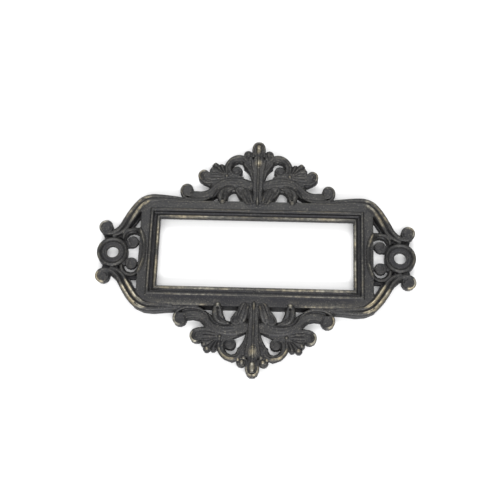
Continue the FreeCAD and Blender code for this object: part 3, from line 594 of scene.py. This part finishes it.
bronze = bpy.data.materials.new("antique_bronze")
bronze.use_nodes = True
shader = bronze.node_tree.nodes["Principled BSDF"]
place = Signal(bronze.node_tree.nodes.new("ShaderNodeTexCoord").outputs["Object"])
ridge = place.node("ShaderNodeAttribute", {"attribute_name": "ridge"}, {}, output="Fac")
rub_and_highlight = place.node("ShaderNodeAttribute", {"attribute_name": "rub_and_highlight"}, {}, output="Fac")
darkening_and_painted_shade = place.node("ShaderNodeAttribute", {"attribute_name": "darkening_and_painted_shade"}, {}, output="Fac")
cloud = place.noise(300, 3)
grain = place.noise(3200, 3, 0.65)
speck = place.noise(1700, 2, 0.6)
dust = place.noise(4200, 2, 0.6)

blue_black, warm_black = (0.0255, 0.0260, 0.0282, 1), (0.0475, 0.0465, 0.0448, 1)
darkening_and_shade_black = (0.0195, 0.0192, 0.0235, 1)
pale_brass, deep_brass = (0.235, 0.221, 0.180, 1), (0.262, 0.224, 0.150, 1)
bare_metal = (0.20, 0.187, 0.155, 1)

mottle = 0.4 * cloud.span(0.35, 0.65) + 0.6 * dust.span(0.3, 0.7)
# patina, with the darker patches and the painted shade laid over it as near-black
patina_with_painted_shade = (darkening_and_painted_shade * 0.85).blend(mottle.blend(blue_black, warm_black), darkening_and_shade_black)
# brass where edges are rubbed, and painted highlight where light would catch them
worn_and_highlit = (0.2 + 0.8 * ridge.span(0.1, 0.9)) * rub_and_highlight * (0.55 + 0.75 * speck.span(0.35, 0.7))
worn_and_highlit = worn_and_highlit.span(0.0, 1.0)
brass_wear_and_highlight = worn_and_highlit.blend(patina_with_painted_shade, cloud.span(0.4, 0.62).blend(pale_brass, deep_brass))
flecks = dust.span(0.56, 0.72) * (0.38 + 0.2 * rub_and_highlight) * (1.0 - 0.8 * darkening_and_painted_shade)
links = bronze.node_tree.links
links.new(flecks.blend(brass_wear_and_highlight, bare_metal).socket, shader.inputs["Base Color"])
links.new((0.52 - 0.2 * worn_and_highlit + 0.2 * (grain - 0.5)).socket, shader.inputs["Roughness"])
shader.inputs["Metallic"].default_value = 0.8
height = grain * 0.6 + dust * 0.4
rough = place.node("ShaderNodeBump", {}, {"Strength": 0.4, "Distance": 0.00004, "Height": height})
links.new(rough.socket, shader.inputs["Normal"])
thinned.materials.clear()
thinned.materials.append(bronze)
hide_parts("label_frame")
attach(casting, "root")

# White sweep under the casting, soft light all round, a long low key light from the near side,
# and two wider ones, over the near side and from the far side. Metres from here on.
sweep = bmesh.new()
bmesh.ops.create_grid(sweep, x_segments=1, y_segments=1, size=2.0)
floor_mesh = bpy.data.meshes.new("sweep")
sweep.to_mesh(floor_mesh)
sweep.free()
paper = bpy.data.objects.new("sweep", floor_mesh)
bpy.context.scene.collection.objects.link(paper)
white = bpy.data.materials.new("white_paper")
white.use_nodes = True
white.node_tree.nodes["Principled BSDF"].inputs["Base Color"].default_value = (0.8, 0.8, 0.8, 1)
white.node_tree.nodes["Principled BSDF"].inputs["Roughness"].default_value = 0.9
floor_mesh.materials.append(white)

sky = bpy.data.worlds.new("studio")
sky.use_nodes = True
sky.node_tree.nodes["Background"].inputs["Color"].default_value = (1, 1, 1, 1)
sky.node_tree.nodes["Background"].inputs["Strength"].default_value = 0.64
bpy.context.scene.world = sky


def softbox(name, spot, aim, wide, watts):
    """A soft light at a spot, turned towards its aim, of a width and a height."""
    lamp = bpy.data.lights.new(name, "AREA")
    lamp.shape = "RECTANGLE"
    lamp.size, lamp.size_y = wide
    lamp.energy = watts
    holder = bpy.data.objects.new(name, lamp)
    holder.location = spot
    holder.rotation_euler = (Vector(aim) - Vector(spot)).to_track_quat("-Z", "Y").to_euler()
    bpy.context.scene.collection.objects.link(holder)


softbox("key", (0.0, -0.46, 0.38), (0, 0, 0), (0.7, 0.12), 3.5)
softbox("front", (0.08, -0.24, 0.58), (0, 0, 0), (0.3, 0.3), 1.35)
softbox("top", (-0.05, 0.38, 0.53), (0, 0, 0), (0.5, 0.35), 2.3)

# Camera: fitted to the photograph, from above and a little to the near side
camera = bpy.data.cameras.new("camera")
camera.lens = 72
camera.sensor_width = 36
camera.clip_start = 0.01
view = bpy.data.objects.new("camera", camera)
view.location = (0.0042715, -0.0603220, 0.1625026)
view.rotation_euler = [math.radians(turn) for turn in (20.8207, 1.1646, 1.8774)]
bpy.context.scene.collection.objects.link(view)
bpy.context.scene.camera = view
bpy.context.scene.view_settings.view_transform = "Standard"
